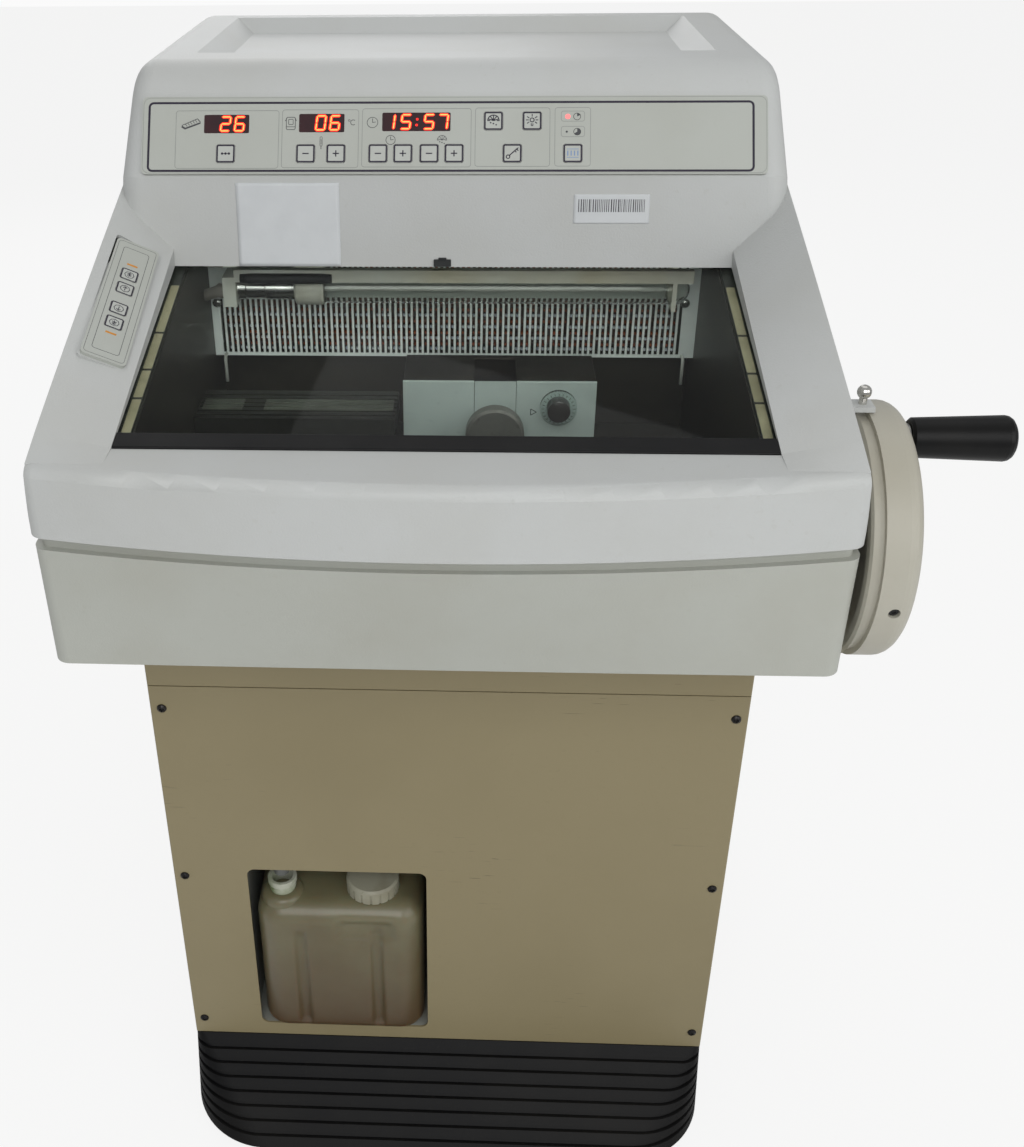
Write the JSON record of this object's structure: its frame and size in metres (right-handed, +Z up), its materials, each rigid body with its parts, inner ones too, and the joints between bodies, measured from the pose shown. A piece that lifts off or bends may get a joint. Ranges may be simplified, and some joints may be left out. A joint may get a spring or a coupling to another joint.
{
  "type": "floor-standing cryostat",
  "caption": "Floor-standing cryostat: cold chamber with rotary microtome under a sliding glass window, handwheel at the side, sloping key panel and waste canister bay.",
  "frame": {"origin": "floor point under the middle of the machine's overall width and depth, handwheel grip included", "axes": "+X to the handwheel side, +Y to the back, +Z up; the operator stands on the -Y side"},
  "size_m": [0.736, 0.7279, 1.052],
  "materials": {
    "housing": "satin off-white",
    "skirt": "fine texture, cream",
    "beige_sheet": "beige paint",
    "frame_paint": "beige paint",
    "plinth_black": "ribbed black",
    "screw_steel": "bright",
    "bay_sheet": "beige paint",
    "overlay_film": "film",
    "guide_rail": "cream",
    "liner_steel": "brushed",
    "foam": "foam",
    "coil_copper": "finned",
    "grille_steel": "brushed",
    "reflector": "bright",
    "lamp_glass": "clear",
    "microtome_paint": "light grey",
    "shelf_metal": "anodised",
    "compressor_black": "black paint",
    "condenser_metal": "finned",
    "pipe_plastic": "grey",
    "bearing_metal": "turned",
    "window_pane": "clear",
    "rail_black": "black",
    "wheel_cast": "warm white paint",
    "shaft_steel": "ground",
    "axle_steel": "ground",
    "grip_black": "black",
    "knob_chrome": "polished",
    "slide_steel": "ground",
    "disc_steel": "turned",
    "dial_black": "black",
    "holder_metal": "grey",
    "blade_steel": "polished",
    "guard_clear": "clear",
    "canister_plastic": "milky",
    "cap_white": "white",
    "fan_black": "black",
    "wheel_grey": "black",
    "foot_black": "black",
    "key_white": "film"
  },
  "bodies": {
    "cabinet": {"base_frame": "frame_paint", "front_panel": "beige_sheet", "side_panel_left": "beige_sheet", "side_panel_right": "beige_sheet", "rear_panel": "beige_sheet", "plinth": "plinth_black", "panel_screws": "screw_steel", "canister_compartment": "bay_sheet", "front_skirt": "skirt", "upper_housing": "housing", "console_overlay": "overlay_film", "side_overlay": "overlay_film", "window_guides": "guide_rail", "chamber_liner": "liner_steel", "insulation": "foam", "evaporator": "coil_copper", "evaporator_grille": "grille_steel", "lamp_fitting": "reflector", "lamp_tube": "lamp_glass", "microtome_body": "microtome_paint", "freeze_shelf": "shelf_metal", "compressor": "compressor_black", "condenser": "condenser_metal", "drain_pipe": "pipe_plastic", "shaft_bearing": "bearing_metal"},
    "window": {"window_glass": "window_pane", "window_rail": "rail_black"},
    "crank": {"handwheel": "wheel_cast", "drive_shaft": "shaft_steel", "handle_axle": "axle_steel"},
    "grip": {"handle_grip": "grip_black"},
    "plunger": {"lock_knob": "knob_chrome"},
    "specimen_carriage": {"specimen_slide": "slide_steel"},
    "specimen_holder": {"specimen_head": "disc_steel"},
    "dial": {"thickness_dial": "dial_black"},
    "knife_carriage": {"knife_holder": "holder_metal", "blade": "blade_steel"},
    "guard": {"anti_roll_plate": "guard_clear"},
    "waste_canister": {"canister": "canister_plastic", "canister_cap": "cap_white"},
    "fan": {"fan_rotor": "fan_black"},
    "wheel_left": {"rear_wheel_left": "wheel_grey"},
    "wheel_right": {"rear_wheel_right": "wheel_grey"},
    "foot_left": {"front_foot_left": "foot_black"},
    "foot_right": {"front_foot_right": "foot_black"},
    "button_rapid": {"key_rapid": "key_white"},
    "button_chamber_down": {"key_chamber_down": "key_white"},
    "button_chamber_up": {"key_chamber_up": "key_white"},
    "button_clock_hours": {"key_clock_hours": "key_white"},
    "button_clock_minutes": {"key_clock_minutes": "key_white"},
    "button_defrost_earlier": {"key_defrost_earlier": "key_white"},
    "button_defrost_later": {"key_defrost_later": "key_white"},
    "button_defrost": {"key_defrost": "key_white"},
    "button_light": {"key_light": "key_white"},
    "button_lock": {"key_lock": "key_white"},
    "button_disinfect": {"key_disinfect": "key_white"},
    "button_feed_fast_up": {"key_feed_fast_up": "key_white"},
    "button_feed_up": {"key_feed_up": "key_white"},
    "button_feed_down": {"key_feed_down": "key_white"},
    "button_feed_fast_down": {"key_feed_fast_down": "key_white"}
  },
  "joints": [
    {"name": "window_slide", "type": "slide", "parent": "cabinet", "child": "window", "axis": [0, 0.9741, 0.226], "range_m": [0, 0.225]},
    {"name": "handwheel_turn", "type": "hinge", "parent": "cabinet", "child": "crank", "pos_m": [0.285, -0.227, 0.738], "axis": [1, 0, 0], "continuous": true},
    {"name": "grip_spin", "type": "hinge", "parent": "crank", "child": "grip", "pos_m": [0.285, -0.227, 0.817], "axis": [1, 0, 0], "continuous": true},
    {"name": "wheel_lock", "type": "slide", "parent": "cabinet", "child": "plunger", "axis": [0, 0, -1], "range_m": [0, 0.004], "stiffness_N_per_m": 600, "springref_m": -0.001},
    {"name": "specimen_stroke", "type": "slide", "parent": "cabinet", "child": "specimen_carriage", "axis": [0, 0, 1], "range_m": [-0.0295, 0.0295]},
    {"name": "specimen_feed", "type": "slide", "parent": "specimen_carriage", "child": "specimen_holder", "axis": [0, -1, 0], "range_m": [0, 0.025]},
    {"name": "thickness_turn", "type": "hinge", "parent": "cabinet", "child": "dial", "pos_m": [0.029, -0.121, 0.793], "axis": [0, 1, 0], "range_deg": [0, 300]},
    {"name": "knife_slide", "type": "slide", "parent": "cabinet", "child": "knife_carriage", "axis": [0, -1, 0], "range_m": [0, 0.014]},
    {"name": "guard_turn", "type": "hinge", "parent": "knife_carriage", "child": "guard", "pos_m": [-0.025, -0.206, 0.7765], "axis": [1, 0, 0], "range_deg": [0, 120]},
    {"name": "canister_pull", "type": "slide", "parent": "cabinet", "child": "waste_canister", "axis": [0, -1, 0], "range_m": [0, 0.2]},
    {"name": "fan_spin", "type": "hinge", "parent": "cabinet", "child": "fan", "pos_m": [-0.175, 0.229, 0.207], "axis": [0, 1, 0], "continuous": true},
    {"name": "wheel_left_roll", "type": "hinge", "parent": "cabinet", "child": "wheel_left", "pos_m": [-0.293, 0.314, 0.025], "axis": [1, 0, 0], "continuous": true},
    {"name": "foot_left_screw", "type": "slide", "parent": "cabinet", "child": "foot_left", "axis": [0, 0, -1], "range_m": [0, 0.012]},
    {"name": "wheel_right_roll", "type": "hinge", "parent": "cabinet", "child": "wheel_right", "pos_m": [0.163, 0.314, 0.025], "axis": [1, 0, 0], "continuous": true},
    {"name": "foot_right_screw", "type": "slide", "parent": "cabinet", "child": "foot_right", "axis": [0, 0, -1], "range_m": [0, 0.012]},
    {"name": "press_rapid", "type": "slide", "parent": "cabinet", "child": "button_rapid", "axis": [0, 0.8277, -0.5612], "range_m": [0, 0.0004], "stiffness_N_per_m": 1500, "springref_m": -0.0001},
    {"name": "press_chamber_down", "type": "slide", "parent": "cabinet", "child": "button_chamber_down", "axis": [0, 0.8277, -0.5612], "range_m": [0, 0.0004], "stiffness_N_per_m": 1500, "springref_m": -0.0001},
    {"name": "press_chamber_up", "type": "slide", "parent": "cabinet", "child": "button_chamber_up", "axis": [0, 0.8277, -0.5612], "range_m": [0, 0.0004], "stiffness_N_per_m": 1500, "springref_m": -0.0001},
    {"name": "press_clock_hours", "type": "slide", "parent": "cabinet", "child": "button_clock_hours", "axis": [0, 0.8277, -0.5612], "range_m": [0, 0.0004], "stiffness_N_per_m": 1500, "springref_m": -0.0001},
    {"name": "press_clock_minutes", "type": "slide", "parent": "cabinet", "child": "button_clock_minutes", "axis": [0, 0.8277, -0.5612], "range_m": [0, 0.0004], "stiffness_N_per_m": 1500, "springref_m": -0.0001},
    {"name": "press_defrost_earlier", "type": "slide", "parent": "cabinet", "child": "button_defrost_earlier", "axis": [0, 0.8277, -0.5612], "range_m": [0, 0.0004], "stiffness_N_per_m": 1500, "springref_m": -0.0001},
    {"name": "press_defrost_later", "type": "slide", "parent": "cabinet", "child": "button_defrost_later", "axis": [0, 0.8277, -0.5612], "range_m": [0, 0.0004], "stiffness_N_per_m": 1500, "springref_m": -0.0001},
    {"name": "press_defrost", "type": "slide", "parent": "cabinet", "child": "button_defrost", "axis": [0, 0.8277, -0.5612], "range_m": [0, 0.0004], "stiffness_N_per_m": 1500, "springref_m": -0.0001},
    {"name": "press_light", "type": "slide", "parent": "cabinet", "child": "button_light", "axis": [0, 0.8277, -0.5612], "range_m": [0, 0.0004], "stiffness_N_per_m": 1500, "springref_m": -0.0001},
    {"name": "press_lock", "type": "slide", "parent": "cabinet", "child": "button_lock", "axis": [0, 0.8277, -0.5612], "range_m": [0, 0.0004], "stiffness_N_per_m": 1500, "springref_m": -0.0001},
    {"name": "press_disinfect", "type": "slide", "parent": "cabinet", "child": "button_disinfect", "axis": [0, 0.8277, -0.5612], "range_m": [0, 0.0004], "stiffness_N_per_m": 1500, "springref_m": -0.0001},
    {"name": "press_feed_fast_up", "type": "slide", "parent": "cabinet", "child": "button_feed_fast_up", "axis": [-0.4465, 0.2774, -0.8507], "range_m": [0, 0.0004], "stiffness_N_per_m": 1500, "springref_m": -0.0001},
    {"name": "press_feed_up", "type": "slide", "parent": "cabinet", "child": "button_feed_up", "axis": [-0.4465, 0.2774, -0.8507], "range_m": [0, 0.0004], "stiffness_N_per_m": 1500, "springref_m": -0.0001},
    {"name": "press_feed_down", "type": "slide", "parent": "cabinet", "child": "button_feed_down", "axis": [-0.4465, 0.2774, -0.8507], "range_m": [0, 0.0004], "stiffness_N_per_m": 1500, "springref_m": -0.0001},
    {"name": "press_feed_fast_down", "type": "slide", "parent": "cabinet", "child": "button_feed_fast_down", "axis": [-0.4465, 0.2774, -0.8507], "range_m": [0, 0.0004], "stiffness_N_per_m": 1500, "springref_m": -0.0001}
  ]
}
